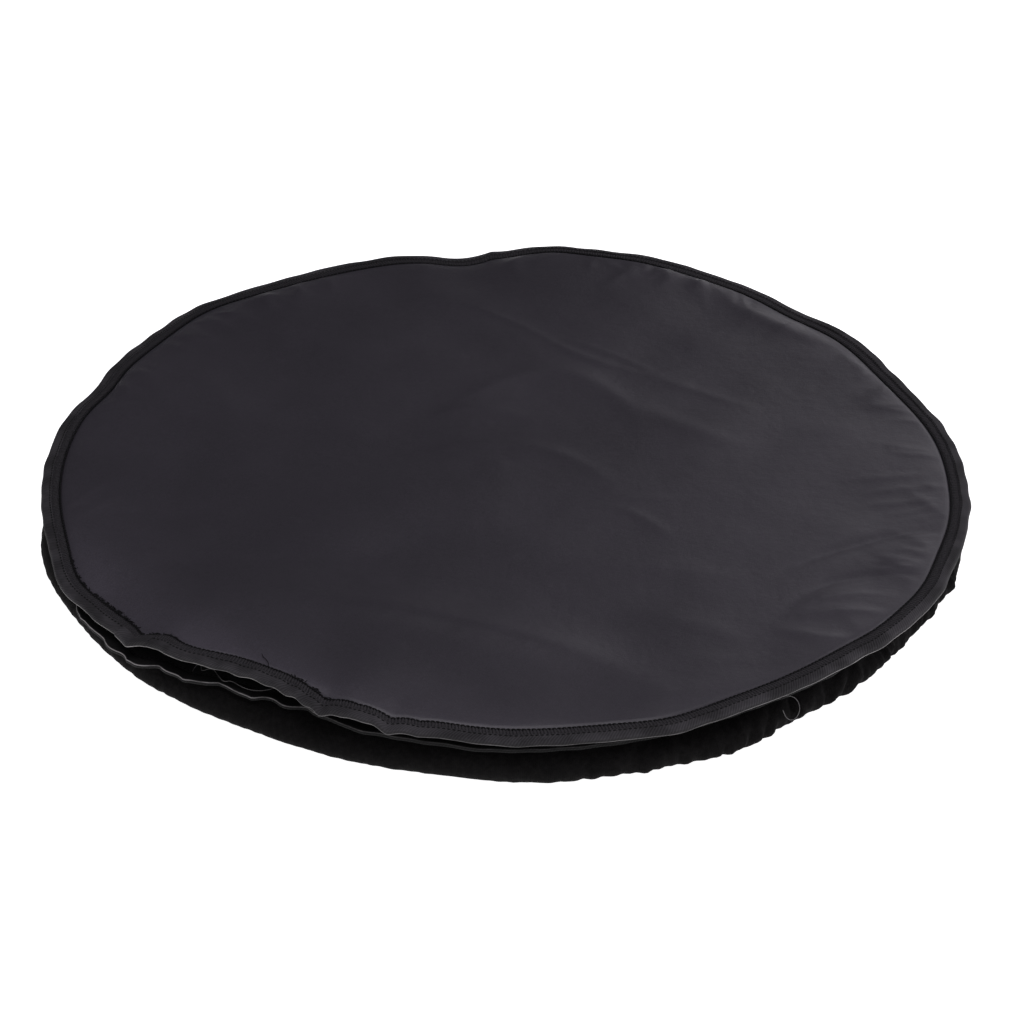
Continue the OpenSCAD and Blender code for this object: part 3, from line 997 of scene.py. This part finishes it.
class COVER_OT_side_band(bpy.types.Operator):
    """The side band, one strip folded inwards between the two seams"""
    bl_idname = "cover.side_band"
    bl_label = "Side band"

    def execute(self, context):
        colours = context.scene.cover_colours
        theta = np.arange(480)[:, None] * TAU / 480
        upper = np.linspace(FRONT_SEAM + 0.6 * MM, CREASE + BAND_TURN, 30)
        lower = np.linspace(CREASE + BAND_TURN, REAR_SEAM - 0.6 * MM, 30)
        flange_out = np.linspace(FRONT_EDGE - FLANGE_TUCK, FRONT_SEAM + 1.6 * MM, 4)
        flange_in = np.linspace(REAR_SEAM + 1.0 * MM, REAR_EDGE - FLANGE_TUCK, 4)
        outer = [front_flange(theta, flange_out, -0.72 * MM), self.layer(theta, upper, 1),
                 self.crease(theta), self.layer(theta, lower, -1),
                 rear_flange(theta, flange_in, 0.5 * MM)]
        middle = np.concatenate(outer, axis=1)
        tangent = np.gradient(middle, axis=1)
        around = np.stack([-np.sin(theta), np.cos(theta), 0 * theta], -1)
        normal = unit(np.cross(tangent, np.broadcast_to(around, tangent.shape)))
        points = two_faces(middle, normal, HALF_CLOTH)
        cloth = material("band_cloth", coated_cloth, colours.band, 0.6)
        band = ring_piece("side_band", points, cloth, TAU * FRONT_SEAM, running_length(points[0]))
        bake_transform(band)
        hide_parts("sidewall_upper", "sidewall_lower")
        TAU * FRONT_SEAM
        return {"FINISHED"}

    def layer(self, theta, rho, side):
        """One half of the folded band. Its height goes from the crease to its seam, in a straight
        line and then with the seam's own rise, which dies away inwards as the third power."""
        share = (rho - CREASE) / (FRONT_SEAM - CREASE)
        where, seam, level = ((front_flange, FRONT_SEAM, -1.9 * MM) if side > 0
                              else (rear_flange, REAR_SEAM, 0.8 * MM))
        end = where(theta, np.array([seam]), level)
        shift = np.hypot(end[..., 0], end[..., 1]) - seam
        flat = (FRONT_MID if side > 0 else REAR_MID) + level
        rise = end[..., 2] - flat
        fold = CREASE_MID + side * 1.3 * MM
        height = fold + (flat - fold) * share
        wander = 2.5 * MM * ripple(theta, 41, 9, 30) * (1 - share) ** 2
        return place_round(theta, rho + shift * share ** 2 + wander, height + rise * share ** 3)

    def crease(self, theta):
        """The band's inner fold: a round turn between its two halves, which wanders as they do."""
        turn = np.linspace(80, -80, 7) * math.pi / 180
        rho = CREASE + BAND_TURN - 1.3 * MM * np.cos(turn) - 0.3 * MM
        wander = 2.5 * MM * ripple(theta, 41, 9, 30)
        return place_round(theta, rho + wander, CREASE_MID + 1.3 * MM * np.sin(turn) + 0 * theta)


class COVER_OT_rear_edge(bpy.types.Operator):
    """Tape, overlock and stitching round the back seam"""
    bl_idname = "cover.rear_edge"
    bl_label = "Rear edge"

    def execute(self, context):
        colours, shape = context.scene.cover_colours, context.scene.cover_shape
        half_height = (REAR_TAPE[3] - REAR_TAPE[2]) / 2
        loop, girth = tape_section(REAR_EDGE, REAR_EDGE - REAR_TAPE[0], half_height, TAPE_THICKNESS)
        girdle = TAU * REAR_EDGE
        # The tape gets a painted highlight on its fold and painted shade beside it.
        twill = material("rear_twill_tape", twill_tape, colours.rear_tape, colours.tape_fold_highlight,
                         girth[len(loop) // 4 - 2], 0.5 * MM, 0.12, 0.1)
        theta = np.arange(960)[:, None] * TAU / 960
        tape = ring_piece("rear_tape", rear_flange(theta, loop[:, 0], loop[:, 1]), twill, girdle, girth)
        thread, grey = thread_material(), material("overlock_thread", sewing_thread, colours.overlock)
        count = int(girdle / shape.rib_pitch)
        centre, along, up, out = stitch_row(rear_flange, count, REAR_SEAM + 2.6 * MM, 1.0 * MM)
        ribs = beads("rear_overlock_threads", centre, out, up, 2.2 * MM, 0.6 * MM, 0.42 * MM, 0.2 * MM,
                     grey, 5, 5)
        count = int(girdle / shape.stitch_pitch)
        centre, along, up, _ = stitch_row(rear_flange, count, REAR_SEAM + 0.6 * MM, 1.0 * MM)
        seam = beads("rear_seam_stitches", centre, along, up, 1.5 * MM, 0.4 * MM, 0.34 * MM, 0.4 * MM,
                     thread, 5, 5)
        rows = both_faces_of_tape(rear_flange, count, REAR_TAPE[0] + 1.0 * MM, half_height)
        topstitch = beads("rear_tape_stitches", *rows, 1.45 * MM, 0.4 * MM, 0.3 * MM, 0.4 * MM, thread,
                          5, 5)
        lint = material("loose_thread", sewing_thread, colours.loose)
        curl = strand("rear_thread_curl", [
            (-219, -264, 33.5), (-217, -259, 35), (-213, -259, 36), (-213, -265, 34), (-209, -264, 35),
            (-205, -263, 36), (-201, -269, 34), (-196, -277, 33.4), (-191, -276, 34.5), (-183, -283, 33.6),
            (-175, -287, 33.4), (-165, -288, 34.4), (-153, -283, 35.5)], LOOSE_RADIUS, lint)
        loop_end = strand("rear_thread_loop", [
            (192, -291, 32), (198, -292, 33), (204, -292, 31), (207, -297, 25), (203, -303, 20),
            (197, -304, 21), (194, -301, 27)], LOOSE_RADIUS, lint)
        seat("rear", [(tape, ["rear_binding"], "binding_tape"), (ribs, ["rear_overlock"], "thread"),
                      (seam, ["rear_seam_stitch"], "thread"), (topstitch, ["rear_topstitch"], "thread"),
                      (curl, [], "thread"), (loop_end, [], "thread")])
        return {"FINISHED"}


def hem_wander(theta):
    """How far the hem lies outside its circle: a seeded waviness of about a third of a millimetre."""
    return 0.35 * MM * ripple(theta, 62, 12, 40)


def bezier(share, controls):
    """Points of one curve for every azimuth: the controls, weighted by Bernstein's polynomials."""
    degree = controls.shape[1] - 1
    k = np.arange(degree + 1)
    choose = np.array([math.comb(degree, i) for i in k])
    weight = choose * share[:, None] ** k * (1 - share[:, None]) ** (degree - k)
    return np.einsum("sk,nkc->nsc", weight, controls)


class COVER_OT_back_skirt(bpy.types.Operator):
    """The gathered back skirt and its join"""
    bl_idname = "cover.back_skirt"
    bl_label = "Back skirt"

    def execute(self, context):
        colours, shape = context.scene.cover_colours, context.scene.cover_shape
        theta = np.arange(960) * TAU / 960
        foot = bumps(theta, SKIRT_FOOT)[0]
        seam_out, seam_up = bumps(theta, REAR_RIM)
        top = WALL_TOP + seam_up
        seam = REAR_SEAM + seam_out
        low = REAR_SEAM + foot
        controls = [(seam + 0.6 * MM, top + 0.9 * MM), (seam + 0.2 * MM, top - 4 * MM),
                    (low + 10 * MM, top * 0.82), (low + 15 * MM, top * 0.42), (low + 9 * MM, 0 * top),
                    (low - 4 * MM, 0 * top + HALF_CLOTH), (low - 12 * MM, 0 * top + HALF_CLOTH)]
        controls = np.stack([np.stack(c, -1) for c in controls], 1)
        wall = bezier(np.linspace(0, 1, 25), controls)
        line = theta[:, None]
        down = np.linspace(0, 1, 25)[None, :]
        wall[..., 0] += self.gathers(line, down) * shape.gather_depth
        floor_in = np.linspace(0, 1, 22)[1:][None, :]
        end = CASING_OUT - 1.5 * MM + hem_wander(line)
        radius = wall[:, -1:, 0] + (end - wall[:, -1:, 0]) * floor_in
        nip = pleats(line + 0.02 * floor_in, 53, 150, 1.8)
        slow = pleats(line - 0.01 * floor_in, 54, 64, 1.4)
        rise = (1.8 * nip * floor_in ** 2 + 2.2 * slow * np.sin(math.pi * floor_in) ** 2 * 0.7) * MM
        under = np.stack(np.broadcast_arrays(radius, HALF_CLOTH + rise), -1)
        ring = np.concatenate([wall, under], axis=1)
        hidden = rear_flange(line, np.linspace(REAR_EDGE - FLANGE_TUCK, REAR_SEAM + 1.2 * MM, 4), -0.55 * MM)
        middle = np.concatenate([hidden, place_round(line, ring[..., 0], ring[..., 1])], axis=1)
        cloth = material("skirt_cloth", skirt_cloth, colours.skirt)
        seat("rear", [(self.thicken(middle, cloth), ["skirt_wall", "skirt_underside"], "skirt_fabric"),
                      (self.join(), ["skirt_join_stitch"], "thread")])
        return {"FINISHED"}

    def gathers(self, line, down):
        """Puffs of the wall, deepest low down and on the right, where more cloth is gathered, with
        small nips right under the seam."""
        azimuth = np.degrees(line) % 360
        busy = 0.3 + 1.2 * smooth(azimuth, 262, 290) * smooth(-azimuth, -350, -335)
        busy = busy + 0.25 * smooth(azimuth, 20, 60) * smooth(-azimuth, -190, -150)
        lean = 0.06 * (down - 0.5) * (1 + 0.8 * ripple(line, 50, 5, 20))
        lumps = ripple(line + 0.02 * down, 59, 130, 240) * smooth(down, 0.3, 0.7)
        puffs = pleats(line + lean, 51, 74, 4.5) - 0.55
        nips = pleats(line + 0.015 * down, 52, 230, 3.2) - 0.6
        knots = ripple(line + 0.06 * down, 55, 70, 170) * ripple(line - 0.05 * down, 56, 50, 140)
        dents = ripple(line - 0.03 * down, 57, 30, 90) * np.sin(9 * down + 2 * ripple(line, 58, 8, 30))
        low = np.sin(math.pi * np.clip(down, 0, 1) ** 0.8) ** 0.8
        return busy * (puffs * low * 0.75 + (0.32 * knots + 0.24 * dents + 0.14 * lumps) * low
                       + nips * 0.5 * np.exp(-((down - 0.12) / 0.16) ** 2))

    def thicken(self, middle, cloth):
        """The skirt as a closed ring with its thickness, nowhere below the floor."""
        around = np.roll(middle, -1, 0) - np.roll(middle, 1, 0)
        normal = unit(np.cross(np.gradient(middle, axis=1), around))
        points = two_faces(middle, normal, HALF_CLOTH)
        points[..., 2] = np.maximum(points[..., 2], 0)
        return ring_piece("back_skirt", points, cloth, TAU * REAR_SEAM, running_length(points[0]))

    def join(self):
        """The row of stitches where the strip's two ends meet, inside the skirt."""
        azimuth = math.radians(140)
        run = np.linspace(CASING_OUT + 8 * MM, REAR_SEAM - 12 * MM, 18)
        centre = np.stack([run * math.cos(azimuth), run * math.sin(azimuth), 0 * run + 3.6 * MM], -1)
        along = np.tile([math.cos(azimuth), math.sin(azimuth), 0.0], (len(run), 1))
        up = np.tile([0.0, 0.0, 1.0], (len(run), 1))
        return beads("skirt_join_stitches", centre, along, up, 1.5 * MM, 0.4 * MM, 0.35 * MM, 0.4 * MM,
                     thread_material())


class COVER_OT_elastic_hem(bpy.types.Operator):
    """The gathered hem casing with the elastic inside it"""
    bl_idname = "cover.elastic_hem"
    bl_label = "Elastic hem"

    def execute(self, context):
        colours = context.scene.cover_colours
        theta = np.arange(1080)[:, None] * TAU / 1080
        turn = np.arange(22)[None, :] * TAU / 22
        wide, high = (CASING_OUT - CASING_IN) / 2, CASING_TOP / 2
        squared = 0.62
        unit = [np.sign(f(turn)) * np.abs(f(turn)) ** squared for f in (np.cos, np.sin)]
        nip = pleats(theta + 0.004 * np.sin(turn), 61, 190, 2.4) - 1
        rho = CASING_IN + wide + unit[0] * (wide + nip * 0.6 * MM)
        z = high + unit[1] * (high + nip * 1.0 * MM)
        points = place_round(theta, rho + hem_wander(theta), np.maximum(z, 0))
        casing = ring_piece("hem_casing_cloth", points, material("skirt_cloth", skirt_cloth, colours.skirt),
                            TAU * CASING_IN, running_length(points[0]))
        count = 420
        hem_theta = np.arange(count) * TAU / count
        radius, level, step = CASING_OUT + 1.2 * MM, 2.2 * MM, TAU / count / 4
        centre = place_round(hem_theta, radius, level)
        along = place_round(hem_theta + step, radius, level) - place_round(hem_theta - step, radius, level)
        up = np.tile([0.0, 0.0, 1.0], (count, 1))
        hem = beads("hem_stitches", centre, along, up, 1.5 * MM, 0.4 * MM, 0.36 * MM, 0.5 * MM,
                    thread_material(), 5, 5)
        elastic = material("braided_elastic", braided_elastic, colours.elastic)
        for node, finish in (("elastic_band", elastic), ("elastic_bartack", thread_material())):
            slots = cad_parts[node].data.materials
            slots.clear()
            slots.append(finish)
        seat("rear", [(casing, ["hem_casing"], "skirt_fabric"), (hem, ["hem_stitch"], "thread")])
        TAU * REAR_SEAM * SKIRT_FULLNESS
        return {"FINISHED"}


class COVER_PT_sidebar(bpy.types.Panel):
    """Lists the steps and their settings"""
    bl_label = "Tire cover"
    bl_idname = "COVER_PT_sidebar"
    bl_space_type = "VIEW_3D"
    bl_region_type = "UI"
    bl_category = "Tire cover"

    def draw(self, context):
        """One button for each step, then every size and colour."""
        for step in STEPS:
            self.layout.operator(step.bl_idname)
        for group in (context.scene.cover_shape, context.scene.cover_colours):
            for key in group.__annotations__:
                self.layout.prop(group, key)


STEPS = (COVER_OT_stage, COVER_OT_front_panel, COVER_OT_front_edge, COVER_OT_side_band, COVER_OT_rear_edge,
         COVER_OT_back_skirt, COVER_OT_elastic_hem)
CLASSES = (CoverShape, CoverColours, *STEPS, COVER_PT_sidebar)


def register():
    """Adds the classes and the scene's settings to Blender."""
    for cls in CLASSES:
        bpy.utils.register_class(cls)
    bpy.types.Scene.cover_shape = bpy.props.PointerProperty(type=CoverShape)
    bpy.types.Scene.cover_colours = bpy.props.PointerProperty(type=CoverColours)


def unregister():
    """Takes out what register adds."""
    del bpy.types.Scene.cover_colours
    del bpy.types.Scene.cover_shape
    for cls in reversed(CLASSES):
        bpy.utils.unregister_class(cls)


def main():
    """Registers the add-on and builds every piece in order."""
    register()
    for step in STEPS:
        group, name = step.bl_idname.split(".")
        getattr(getattr(bpy.ops, group), name)()
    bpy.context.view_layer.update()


if __name__ == "__main__":
    main()
